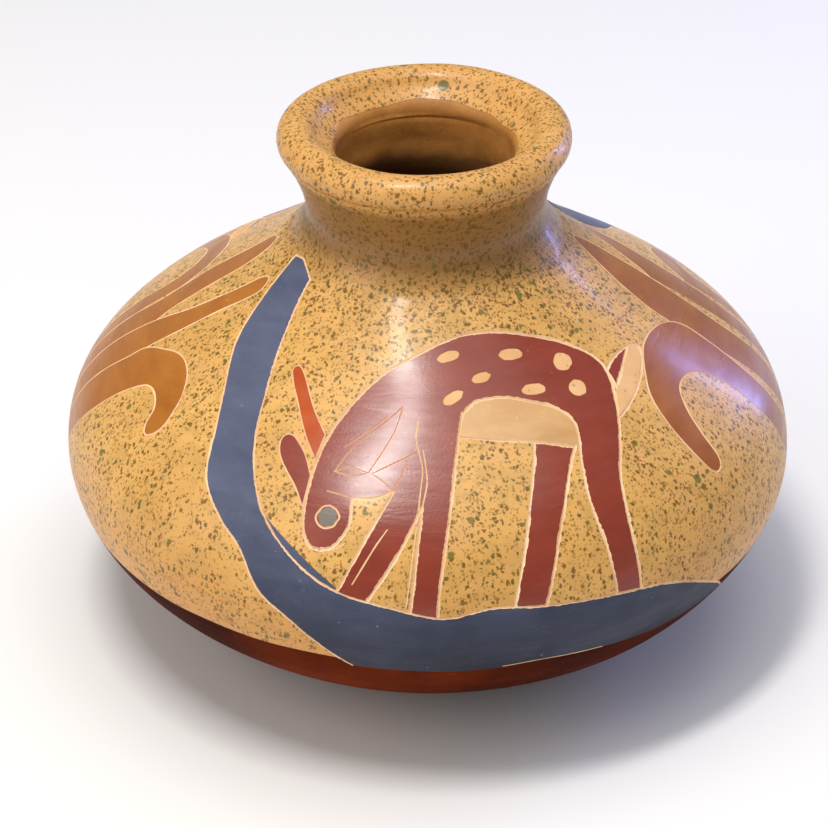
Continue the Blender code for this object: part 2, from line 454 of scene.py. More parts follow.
SPOTS = [
    # azimuth, arc, half width and half height in mm, tilt in degrees
    (5.6, 71.4, 3.0, 1.4, 18), (13.8, 65.1, 2.5, 1.4, 15), (24.2, 69.9, 3.1, 1.6, -5),
    (5.8, 60.4, 2.9, 1.4, 32), (26.3, 59.6, 3.2, 1.6, -6), (37.8, 64.2, 2.7, 2.4, 30),
    (37.1, 56.4, 2.6, 2.3, 25),
]
DEER_LINES = [
    # the front leg carried up into the shoulder, and its second line
    [(-1.3, 32), (-0.5, 38), (-0.7, 42), (-1.3, 46.7)],
    [(-3.4, 8.3), (-2.4, 24), (-1.6, 36.7), (-1.4, 42.2), (-2.9, 50), (-2.5, 54.4)],
    # a scratch down the slanting leg, the mouth, and a stray line over the ear
    [(-6.8, 26.4), (-8.6, 21.7), (-11.4, 12.8)],
    [(-14.8, 20.4), (-13.2, 22.2)],
    [(-28.5, 46.5), (-26.5, 45)],
]
SHOULDER_LEAVES = [
    [(-17.7, 39.2), (-15.7, 45), (-12.9, 49.4), (-6.2, 58), CORNER, (-7.4, 51.5), (-10, 43.9), (-11.4, 40)],
    [(-17.1, 45.6), (-13.6, 50), (-9.6, 55)],
    [(-17.7, 39.2), (-15, 40.8), (-11.4, 40), CORNER, (-14.3, 38.7), (-17.7, 39.2)],
    [(-10.6, 40), (-7.9, 42.2), (-2.9, 46)],
    [(-10.7, 39.9), (-8.6, 38.3), (-6.3, 36.1), CORNER, (-5.2, 40), (-4.3, 43.9)],
    [(-13.8, 33.3), (-15.6, 33.7), (-18, 34)],
]
HOOK_LEFT = [
    (-84.5, -14), (-82, 0), (-78.6, 11), (-75, 21.7), (-71.6, 30.5), (-68, 36.3), (-64.3, 37), (-61, 34.6),
    (-59.7, 30.5), (-58.2, 28.4), (-56.4, 29.8), (-55.6, 34), (-57.6, 41.5), (-62.3, 46.8), (-68.6, 47.9),
    (-75, 44.3), (-79.3, 40), (-80.8, 34), (-83.2, 25.7), (-85, 15), (-87, -14),
]
BLADE_LEFT = [
    (-79.3, 40), (-78.2, 45.7), (-76.2, 54), (-73.6, 62.6), (-70.3, 69.5), (-68.6, 74), (-70.9, 77.4),
    (-75, 75), (-79.1, 66.3), (-83.2, 55), (-86.8, 46.3), (-89, 37.7), (-90.6, 26), (-90.4, 10), (-88.5, -14),
]
TALL_BLADE_LEFT = [
    (-87.6, 43.6), (-89.1, 50), (-89.6, 60), (-89.4, 72), (-90.6, 80.3), (-94.5, 82), (-98.8, 79),
    (-100.3, 70), (-100.2, 60), (-98, 50), (-96.4, 42), (-96.8, 30), (-95.5, 12), (-90.5, -14),
]
BACK_HOOK_LEFT = [
    (-98.2, 50.6), (-101.5, 55), (-106, 57.8), (-113, 58.3), (-121, 54), (-127, 46), (-129, 36),
    (-128.6, 26), (-126.6, 21), (-124.7, 25), (-123.8, 33), (-121.5, 42), (-117, 48.3), (-112, 50.3),
    (-107, 48.6), (-104, 43.5), (-102.8, 35), (-101.6, 22), (-98.5, 6), (-92.5, -14),
]
HOOK_RIGHT = [
    (81.5, -14), (79, 0), (76.5, 9), (74.3, 19.7), (72.4, 31), (69.7, 39.5), (65.5, 43), (60.5, 42.3),
    (57.3, 37), (55.9, 30), (55.5, 23), (53.8, 20.8), (52.2, 22.5), (51, 29), (50.8, 37), (52.3, 45.5),
    (56.5, 51.3), (62, 55.6), (67.5, 56.8), (73, 56), (78, 53.2), (80.7, 48.5), (80.9, 40), (80.6, 29),
    (81.6, 17), (84, 3), (86.5, -14),
]
BLADE_RIGHT = [
    (78.2, 53.1), (78.5, 60), (81.3, 69.5), (85.3, 77.6), (90, 84), (94.2, 80.8), (96.5, 74.3), (96, 65),
    (94, 55.5), (92, 45), (91, 34), (91.3, 22), (91, 5), (89, -14),
]
TALL_BLADE_RIGHT = [
    (94.9, 59), (98, 62.2), (103.5, 69.3), (107.8, 74.8), (111, 77.4), (113.3, 75.3), (113.4, 70),
    (111.5, 63.5), (107.5, 56), (105, 48), (102.7, 40), (100.3, 31), (98.5, 16), (92, -14),
]
# The left hook half a turn round, as far as the blade in front of it
BACK_HOOK_RIGHT = [(azimuth + 180, arc) for azimuth, arc in HOOK_LEFT[:-5]] + [(104.4, 44.8)]
PLUMES = {
    "plume_left_1": HOOK_LEFT,
    "plume_left_2": BLADE_LEFT,
    "plume_left_3": TALL_BLADE_LEFT,
    "plume_left_4": BACK_HOOK_LEFT,
    "plume_right_1": HOOK_RIGHT,
    "plume_right_2": BLADE_RIGHT,
    "plume_right_3": TALL_BLADE_RIGHT,
    "plume_right_4": BACK_HOOK_RIGHT,
}

# The arc of the edge between the red-brown and the ochre slip, and the arcs and azimuths that bound the
# painted band and its two halves
RED_EDGE = -9.2
BAND_LOW, BAND_HIGH = -18.0, 91.0
SPLIT = (-90.0, 90.0)

# Where the speckled slip ends, in mm of arc below the throat, and where it dips: azimuth, half width, mm
THROAT_BARE = 2.6
THROAT_DIPS = ((-122, 24, 1.5), (171, 17, 1.3))

# In metres: thickness of the coat, how far the clay reaches into it, how thin it ends in the mouth, and how
# much lower a scraped spot lies
COAT = 0.0010
COAT_LAP = 0.00005
COAT_EDGE = 0.00012
SCRAPED = 0.00010

# Width of the cut lines in mm, their depth as a share of half that, the form of their sides, and how rough
# the borders of fine and of wide ones are
LINE_WIDTH = 0.84
BANK_WIDTH = 0.56
EYE_RING_WIDTH = 0.5
PLUME_WIDTH = 0.46
FINE_WIDTH = 0.36
GROOVE_DEPTH = 0.85
GROOVE_LEDGE, GROOVE_ROUND = 0.12, 0.8
FINE_ROUGHNESS, WIDE_ROUGHNESS = 0.06, 0.3

# Fineness of the coat: steps from one control point to the next, mm between a line's points and between the
# loose ones, how far in mm those keep off the lines, and the points in each line round the vase
SPLINE_STEPS = 13
PATH_STEP = 0.62
SPREAD_STEP, SPREAD_ROW, SPREAD_OFFSET = 2.0, 0.87, 0.13
CLEARANCE = 0.8
LOW_AROUND, HIGH_AROUND, EDGE_AROUND, SPLIT_STEPS = 288, 128, 420, 90

# The flat map of the band: its radius at the belly line, and how close its points merge. A patch under
# SLIVER square mm goes to the groove beside it.
FLAT_RADIUS, FLAT_MERGE = 100, 0.004
SLIVER = 0.15


def throat_edge(azimuth):
    """The arc where the speckled slip ends inside the mouth, brushed unevenly."""
    turn = np.radians(azimuth)
    wave = waves(turn, (0.4, 1, 2.4), (0.4, 3, 1.2), (0.3, 7, 0), (0.2, 13, 0))
    dips = sum(rise * bell(wrap(azimuth - place), width) for place, width, rise in THROAT_DIPS)
    return ARC_THROAT - THROAT_BARE + wave - dips


def coat_depth(arc):
    """How deep the slip coat goes: it thins out over the inner side of the lip."""
    return COAT + (COAT_EDGE - COAT) * ease((arc - ARC_LIP_END + 2) / 3)


def spline(points):
    """A smooth line through (azimuth, arc) points, ending at both of its ends."""
    points = np.array(points, float)
    before = np.vstack([2 * points[0] - points[1], points[:-2]])
    after = np.vstack([points[2:], 2 * points[-1] - points[-2]])
    share = np.linspace(0, 1, SPLINE_STEPS + 1)[:-1, None]
    line = []
    for p0, p1, p2, p3 in zip(before, points[:-1], points[1:], after):
        square = (2 * p0 - 5 * p1 + 4 * p2 - p3) * share**2
        cube = (3 * p1 - p0 - 3 * p2 + p3) * share**3
        line.append(0.5 * (2 * p1 + (p2 - p0) * share + square + cube))
    return np.vstack([*line, points[-1:]])


def even_steps(line):
    """The same line with its points evenly spaced along the surface."""
    place = surface(*line.T) / MM
    length = running_total(np.linalg.norm(np.diff(place, axis=0), axis=1))
    even = np.linspace(0, length[-1], max(2, round(length[-1] / PATH_STEP) + 1))
    return np.stack([np.interp(even, length, line[:, 0]), np.interp(even, length, line[:, 1])], -1)


def smooth(points, closed=False):
    """A dense line through control points. CORNER after a point keeps it sharp."""
    if closed and CORNER not in points:
        looped = spline([*points[-3:], *points, *points[:3]])
        return even_steps(looped[3 * SPLINE_STEPS : (3 + len(points)) * SPLINE_STEPS + 1])
    if closed:
        first = points.index(CORNER) - 1
        points = points[first:] + points[: first + 1]
    stretches = [[]]
    for point in points:
        if point is not CORNER:
            stretches[-1].append(point)
        elif len(stretches[-1]) > 1:
            stretches.append(stretches[-1][-1:])
    dense = [even_steps(spline(stretch)) for stretch in stretches if len(stretch) > 1]
    return np.vstack([dense[0]] + [part[1:] for part in dense[1:]])


def inside_outline(outline, azimuth, arc):
    """Which of these places lie inside a closed outline."""
    x0, y0 = outline.T
    x1, y1 = np.roll(x0, -1), np.roll(y0, -1)
    azimuth, arc = np.atleast_1d(azimuth)[:, None], np.atleast_1d(arc)[:, None]
    spans = (y0 > arc) != (y1 > arc)
    crossing = x0 + (arc - y0) * (x1 - x0) / np.where(y1 == y0, 1e-9, y1 - y0)
    return (spans & (azimuth < crossing)).sum(1) % 2 == 1


def oval(azimuth, arc, half_width, half_height, tilt, sides=20):
    """A hand-scraped oval."""
    turn = np.linspace(0, 2 * math.pi, sides, endpoint=False)
    rough = np.array([1 + chance.uniform(-0.07, 0.07) for _ in turn])
    x, y = half_width * np.cos(turn) * rough, half_height * np.sin(turn) * rough
    way = direction(math.radians(tilt))
    across, up = x * way.x - y * way.y, x * way.y + y * way.x
    return list(zip(azimuth + np.degrees(across * MM / radius_at(arc)), arc + up))


def turned(line, turn):
    """The same line, this many degrees further round the vase."""
    return np.stack([line[:, 0] + turn, line[:, 1]], -1)


class Painting:
    """Everything painted and incised: regions in order of painting, and groove lines."""

    def __init__(self):
        self.regions = []
        self.grooves = []

    def region(self, name, points, look, turn=0, sunk=0.0):
        self.regions.append((name, smooth(points, closed=True), look, turn, sunk))

    def groove(
        self, points, turn=0, width=LINE_WIDTH, closed=False,
        under=None, floor=-math.inf, name="incised_lines",
    ):
        """Cuts a line. It stops where it would run under another outline, or below an arc."""
        line = smooth(points, closed)
        hidden = line[:, 1] < floor
        if under is not None:
            hidden |= inside_outline(under, *line.T)
        if closed and not hidden.any():
            self.grooves.append((turned(line[:-1], turn), width, True, name))
            return
        if closed:
            start = int(np.argmax(hidden))
            line, hidden = np.roll(line[:-1], -start, axis=0), np.roll(hidden[:-1], -start)
        run = []
        for place, is_hidden in zip([*line, line[0]], [*hidden, True]):
            if not is_hidden:
                run.append(place)
                continue
            if len(run) > 2:
                self.grooves.append((turned(np.array(run), turn), width, False, name))
            run = []


def paint_panel(painting, side, turn):
    """One deer by its river. The panel on the other side of the vase is the same, half a turn round."""
    river = smooth(RIVER, closed=True)
    body = smooth(DEER_BODY, closed=True)
    for name, points, look in (
        ("belly_panel", DEER_BELLY, "buff"),
        ("tail_pale", TAIL_PALE, "scraped"),
        ("tail_dark", TAIL_DARK, "maroon"),
        ("deer_inner_leg", DEER_INNER_LEG, "maroon"),
        ("deer_horn", DEER_HORN, "orange"),
        ("deer_ear", DEER_EAR, "maroon"),
        ("deer_body", DEER_BODY, "maroon"),
    ):
        painting.region(f"{name}_{side}", points, look, turn)
    for spot in SPOTS:
        painting.region(f"deer_spots_{side}", oval(*spot), "scraped", turn, sunk=SCRAPED)
    painting.region(f"deer_eye_{side}", oval(*EYE, EYE_RADIUS, EYE_RADIUS, 0), "ash", turn)
    painting.region(f"river_{side}", RIVER, "blue", turn)
    painting.region(f"river_{side}", RIVER_SPILL, "blue", turn)
    painting.groove(RIVER_BANKS, turn, BANK_WIDTH)
    painting.groove(RIVER_SCRATCH, turn, FINE_WIDTH)
    painting.groove(DEER_BODY, turn, closed=True, under=river)
    painting.groove(DEER_INNER_LEG[2:] + DEER_INNER_LEG[:1], turn, under=river)
    painting.groove(BELLY_EDGE, turn)
    painting.groove(DEER_EAR, turn, FINE_WIDTH, closed=True, under=body)
    painting.groove(TAIL_DARK, turn, closed=True, under=body)
    painting.groove(TAIL_EDGE, turn, under=body)
    painting.groove(oval(*EYE, EYE_RING, EYE_RING, 0), turn, EYE_RING_WIDTH, closed=True)
    painting.groove(DEER_HORN, turn, FINE_WIDTH, closed=True, under=body)
    for line in DEER_LINES:
        painting.groove(line, turn, FINE_WIDTH)
    for line in SHOULDER_LEAVES:
        painting.groove(line, turn, FINE_WIDTH, name="scribed_lines")


def paint_plumes(painting):
    for name, points in PLUMES.items():
        look = "golden" if "left" in name else "russet"
        painting.region(name, [points[0], CORNER, *points[1:], CORNER], look)
        painting.groove(points, width=PLUME_WIDTH, floor=RED_EDGE)


# ---------------------------------------------------------------- the coat of slips


def local_frame(line, closed):
    """Unit directions across the line, in mm along the azimuth and along the arc."""
    step = np.roll(line, -1, axis=0) - np.roll(line, 1, axis=0) if closed else np.gradient(line, axis=0)
    sideways = np.radians(step[:, 0]) * radius_at(line[:, 1]) / MM
    upwards = step[:, 1]
    return np.stack([-upwards, sideways], -1) / np.hypot(sideways, upwards)[:, None]


def shifted(line, across, distance):
    azimuth = line[:, 0] + np.degrees(across[:, 0] * distance * MM / radius_at(line[:, 1]))
    return np.stack([azimuth, line[:, 1] + across[:, 1] * distance], -1)


class Cutter:
    """Gathers the points and edges that the coat is triangulated through."""

    def __init__(self):
        self.points = []
        self.edges = []
        self.grooves = []

    def add(self, line, closed=False):
        start, count = len(self.points), len(line)
        self.points += [tuple(place) for place in line]
        self.edges += [(start + i, start + i + 1) for i in range(count - 1)]
        if closed:
            self.edges.append((start + count - 1, start))
        return range(start, start + count)

    def cut(self, line, width, closed, name):
        """A groove: its floor line, and a slightly rough border on both sides."""
        count = len(line)
        phase = chance.uniform(0, 6.28)
        half = width / 2 * (1 + waves(np.arange(count), (0.12, 0.2, phase), (0.08, 0.61, 2 * phase)))
        across = local_frame(line, closed)
        rough = FINE_ROUGHNESS if width < BANK_WIDTH else WIDE_ROUGHNESS
        left, right = (
            shifted(line, across, way * half * [1 + chance.uniform(-rough, rough) for _ in range(count)])
            for way in (1, -1)
        )
        self.add(line, closed)
        if closed:
            self.add(left, True)
            self.add(right, True)
        else:
            caps = [self.cap(line, across, half, end) for end in (-1, 0)]
            self.add(np.vstack([left, caps[0], right[::-1], caps[1]]), True)
        self.grooves.append((line, half, closed, name))

    def cap(self, line, across, half, end):
        """Two points round an end of a groove: its last when end is -1, its first when end is 0."""
        side = across[end] if end else -across[end]
        out = np.array([side[1], -side[0]])
        turns = [direction(math.radians(turn)) for turn in (30, -30)]
        ways = np.array([out * turn.x + side * turn.y for turn in turns])
        return shifted(np.repeat(line[end][None], 2, axis=0), ways, half[end])


def level_line(count, arc):
    """Places round the vase at one arc, or at an arc for each."""
    return np.stack([azimuths(count), np.full(count, arc)], -1)


def wandering_edge():
    """The painted edge between the red-brown slip and the ochre, as places round the vase."""
    turn = np.radians(azimuths(EDGE_AROUND))
    return level_line(EDGE_AROUND, RED_EDGE + waves(turn, (0.5, 3, 1), (0.3, 8, 0), (0.16, 21, 2)))


def spread_of_points():
    """Places spread evenly over the painted band, ring by ring."""
    places = []
    rings = round((BAND_HIGH - BAND_LOW) / (SPREAD_STEP * SPREAD_ROW))
    for ring in range(1, rings):
        arc = BAND_LOW + (BAND_HIGH - BAND_LOW) * ring / rings
        count = round(2 * math.pi * radius_at(arc) / MM / SPREAD_STEP)
        offset = (0.5 * (ring % 2) + SPREAD_OFFSET) * 360 / count
        places.append(turned(level_line(count, arc), offset))
    return np.vstack(places)


def flat(places):
    """The painted band on a flat disc with its angles kept, neck inward."""
    turn = np.radians(places[:, 0])
    rho = FLAT_RADIUS * np.exp(-np.interp(places[:, 1], ARC, CONFORMAL))
    return np.stack([rho * np.cos(turn), rho * np.sin(turn)], -1)


def unflat(points):
    x, y = points.T
    arc = np.interp(-np.log(np.hypot(x, y) / FLAT_RADIUS), CONFORMAL, ARC)
    return np.stack([np.degrees(np.arctan2(y, x)), arc], -1)


def tree_of(points):
    tree = KDTree(len(points))
    for index, point in enumerate(points):
        tree.insert(point, index)
    tree.balance()
    return tree


def face_vectors(points, corner):
    """A vector square to each triangle, twice its area long."""
    first, second, third = (points[corner[:, i]] for i in range(3))
    return np.cross(second - first, third - first)


def edges_of(triangle):
    """The three edges of a triangle, each with its lower point first."""
    return [(min(pair), max(pair)) for pair in zip(triangle, triangle[1:] + triangle[:1])]


def groove_finder(grooves, reach=2, tried=6):
    """Makes a function that tells places how far off the nearest groove is, its half width and its name."""
    starts, ends, halves, names = [], [], [], []
    for line, half, closed, name in grooves:
        place = surface(*line.T) / MM
        starts.append(place if closed else place[:-1])
        ends.append(np.roll(place, -1, axis=0) if closed else place[1:])
        halves.append(half if closed else half[:-1])
        names += [name] * len(ends[-1])
    starts, ends, halves = np.vstack(starts), np.vstack(ends), np.concatenate(halves)
    tree = tree_of((starts + ends) / 2)

    def nearest(places):
        gap, width = np.full(len(places), math.inf), np.ones(len(places))
        owner = [None] * len(places)
        for index, place in enumerate(surface(*places.T) / MM):
            if tree.find(place)[2] > reach:
                continue
            for _, number, _ in tree.find_n(place, tried):
                start, span = starts[number], ends[number] - starts[number]
                share = min(max(float((place - start) @ span / (span @ span)), 0), 1)
                distance = float(np.linalg.norm(place - start - span * share))
                if distance < gap[index]:
                    gap[index], width[index], owner[index] = distance, halves[number], names[number]
        return gap, width, owner

    return nearest


def patches_between(triangles, fixed):
    """Groups the triangles that fixed edges enclose."""
    beside = defaultdict(list)
    for index, triangle in enumerate(triangles):
        for edge in edges_of(triangle):
            beside[edge].append(index)
    seen = set()
    patches = []
    for seed in range(len(triangles)):
        if seed in seen:
            continue
        seen.add(seed)
        members, stack = [], [seed]
        while stack:
            index = stack.pop()
            members.append(index)
            for edge in edges_of(triangles[index]):
                fresh = [] if edge in fixed else [other for other in beside[edge] if other not in seen]
                seen.update(fresh)
                stack += fresh
        patches.append(members)
    return patches


class Coat:
    """The whole outside surface as triangles, each with the name of the piece it belongs to."""

    def __init__(self, painting):
        self.regions = painting.regions
        cutter = Cutter()
        bounds = level_line(LOW_AROUND, BAND_LOW), level_line(HIGH_AROUND, BAND_HIGH)
        rings = [cutter.add(line, True) for line in bounds]
        cutter.add(wandering_edge(), True)
        for azimuth in SPLIT:
            arcs = np.linspace(BAND_LOW, BAND_HIGH, SPLIT_STEPS)
            cutter.add(np.stack([np.full(SPLIT_STEPS, azimuth), arcs], -1))
        for _, outline, _, turn, _ in painting.regions:
            cutter.add(turned(outline, turn))
        for groove in painting.grooves:
            cutter.cut(*groove)
        self.nearest = groove_finder(cutter.grooves)
        low_ring, high_ring = self.triangulate(cutter, rings)
        kept = [index for index, owner in enumerate(self.owners) if owner]
        self.triangles = [self.triangles[index] for index in kept]
        self.owners = [self.owners[index] for index in kept]
        self.add_rows(high_ring, self.lip_rows(), "neck_and_lip_slip")
        self.add_rows(low_ring, self.bowl_rows(), "underside_slip")
        self.finish()

    def triangulate(self, cutter, rings):
        """Fills the painted band with named triangles. Returns the rings that bound it."""
        taken = tree_of(surface(*np.array(cutter.points).T) / MM)
        spread = spread_of_points()
        clear = [taken.find(place)[2] > CLEARANCE for place in surface(*spread.T) / MM]
        places = np.vstack([cutter.points, spread[clear]])
        vertices, edges, triangles, sources, edge_sources, _ = delaunay_2d_cdt(
            [Vector(point) for point in flat(places)], cutter.edges, [], 0, FLAT_MERGE, True
        )
        fixed = {tuple(sorted(edge)) for edge, source in zip(edges, edge_sources) if source}
        self.places = unflat(np.array([tuple(vertex) for vertex in vertices]))
        vertex_of = {}
        for index, source in enumerate(sources):
            for number in source:
                vertex_of[number] = index
                if number in rings[0] or number in rings[1]:
                    self.places[index] = places[number]
        low_ring, high_ring = ([vertex_of[number] for number in ring] for ring in rings)
        self.triangles = [tuple(triangle) for triangle in triangles]
        self.name_triangles(fixed, set(high_ring))
        return low_ring, high_ring

    def name_triangles(self, fixed, high_ring):
        """Names each patch by its largest triangle. What fills the hole at the neck gets no name."""
        corner = np.array(self.triangles)
        area = np.linalg.norm(face_vectors(surface(*self.places.T) / MM, corner), axis=1) / 2
        patches = patches_between(self.triangles, fixed)
        largest = [max(members, key=lambda index: area[index]) for members in patches]
        centres = unflat(flat(self.places)[corner].mean(1)[largest])
        gap, width, line_names = self.nearest(centres)
        names = self.region_names(centres)
        self.owners = [None] * len(self.triangles)
        for number, members in enumerate(patches):
            if high_ring.issuperset(self.triangles[members[0]]):
                continue
            reach = width[number] * (2 if area[members].sum() < SLIVER else 1)
            name = line_names[number] if gap[number] < reach else names[number]
            for index in members:
                self.owners[index] = name

    def region_names(self, places):
        """The name of what is painted at each place: the red-brown slip covers all but the rivers."""
        azimuth, arc = wrap(places[:, 0]), places[:, 1]
        in_front = np.abs(azimuth) < SPLIT[1]
        names = np.where(in_front, "speckled_slip_front", "speckled_slip_back").astype(object)
        red = arc < np.interp(azimuth, *wandering_edge().T, period=360)
        for is_river in (False, True):
            for name, outline, _, turn, _ in self.regions:
                if name.startswith("river") == is_river:
                    names[inside_outline(outline, wrap(azimuth - turn), arc)] = name
            if not is_river:
                names[red] = "underside_slip"
        return names

    def lip_rows(self):
        """Lines round the neck, over the lip and down to the edge of the slip in the mouth."""
        edge = throat_edge(azimuths(HIGH_AROUND))
        arcs = [
            *np.linspace(BAND_HIGH, ARC_UNDER_LIP, 17)[1:],
            *np.linspace(ARC_UNDER_LIP, ARC_LIP_END, 19)[1:],
            *(ARC_LIP_END + (edge - ARC_LIP_END) * share for share in np.linspace(0, 1, 8)[1:]),
        ]
        return [level_line(HIGH_AROUND, arc) for arc in arcs]

    def bowl_rows(self):
        """Lines down the bowl and under the edge of the foot."""
        foot_edge = ARC_FOOT + (LINE[1, 0] - LINE[0, 0]) / MM
        return [level_line(LOW_AROUND, arc) for arc in [*np.linspace(BAND_LOW, foot_edge, 26)[1:], ARC_FOOT]]

    def add_rows(self, ring, rows, owner):
        """Carries the surface on from a ring of the band, row by row."""
        for row in rows:
            start, count = len(self.places), len(row)
            self.places = np.vstack([self.places, row])
            for i in range(count):
                j = (i + 1) % count
                self.triangles += [(ring[i], ring[j], start + j), (ring[i], start + j, start + i)]
            self.owners += [owner] * 2 * count
            ring = range(start, start + count)

    def finish(self):
        self.normals = surface_normal(*self.places.T)
        gap, width, _ = self.nearest(self.places)
        share = np.clip(1 - gap / width, 0, 1)
        self.cut_depth = GROOVE_DEPTH * width * MM * np.where(share > GROOVE_LEDGE, share**GROOVE_ROUND, 0)
        corner = np.array(self.triangles)
        inverted = (face_vectors(surface(*self.places.T), corner) * self.normals[corner].sum(1)).sum(1) < 0
        corner[inverted] = corner[inverted][:, ::-1]
        self.triangles = corner
        self.owners = np.array(self.owners, object)

    def piece(self, name, look, sunk=0.0):
        """The closed solid of all triangles with this name: top, underside and sides."""
        used, corner = np.unique(self.triangles[self.owners == name], return_inverse=True)
        corner = corner.reshape(-1, 3)
        azimuth, arc = self.places[used].T
        top = surface(azimuth, arc, self.cut_depth[used] + sunk)
        bottom = surface(azimuth, arc, coat_depth(arc))
        sides = {side for a, b, c in corner.tolist() for side in ((a, b), (b, c), (c, a))}
        rim = sorted((a, b) for a, b in sides if (b, a) not in sides)
        count = len(used)
        faces = [*corner, *(corner[:, ::-1] + count), *((b, a, a + count, b + count) for a, b in rim)]
        mesh = add_piece(name, np.vstack([top, bottom]), faces, look, sharp=40).data
        if not name.endswith("lines"):
            own = np.zeros((len(mesh.loops), 3))
            own[: 3 * len(corner)] = self.normals[used][corner.reshape(-1)]
            mesh.normals_split_custom_set([tuple(normal) for normal in own])


def build_coat(looks):
    painting = Painting()
    paint_plumes(painting)
    paint_panel(painting, "front", 0)
    paint_panel(painting, "back", 180)
    coat = Coat(painting)
    dress = {
        "speckled_slip_front": ("speckled", 0),
        "speckled_slip_back": ("speckled", 0),
        "neck_and_lip_slip": ("speckled", 0),
        "underside_slip": ("underside", 0),
        "incised_lines": ("incised", 0),
        "scribed_lines": ("scribed", 0),
    }
    dress.update({name: (look, sunk) for name, _, look, _, sunk in painting.regions})
    for name in sorted(set(coat.owners)):
        look, sunk = dress[name]
        coat.piece(name, looks[look], sunk)


# ---------------------------------------------------------------- materials

# Zones of the speckled slip: the heights in metres from which and to which each comes in
WARM_BELLY = (0.062, 0.040)
SMEARED_BELLY = (0.058, 0.046)
LIP_TOP = (0.1285, 0.1325)
# The neck band under the lip is painted shade, over a browner tone that the neck has of its own
NECK_TONE_AND_PAINTED_SHADE = (0.106, 0.114), (0.1315, 0.128)
ROUGH_NECK = (0.098, 0.108), (0.134, 0.128)
DENSER_UPWARDS = (0.038, 0.115)
LIP_DROP, LIP_DROP_RADIUS = (0.0039, 0.0267, 0.1360), 0.0017

# Heights in metres over which the blue slip darkens towards the bottom of the vase: painted shade
PAINTED_SHADE_LOW = (0.074, 0.038)
WORN_FOOT = (0.006, 0.0005)
# Heights in metres below which the inside of the vase darkens: painted shade
INSIDE_PAINTED_SHADE = (0.1225, 0.1175)


def tone(red, green, blue):
    """A colour given as it looks on a screen, as the linear numbers a shader takes."""
    parts = np.array([red, green, blue]) / 255
    return (*np.where(parts <= 0.04045, parts / 12.92, ((parts + 0.055) / 1.055) ** 2.4), 1)


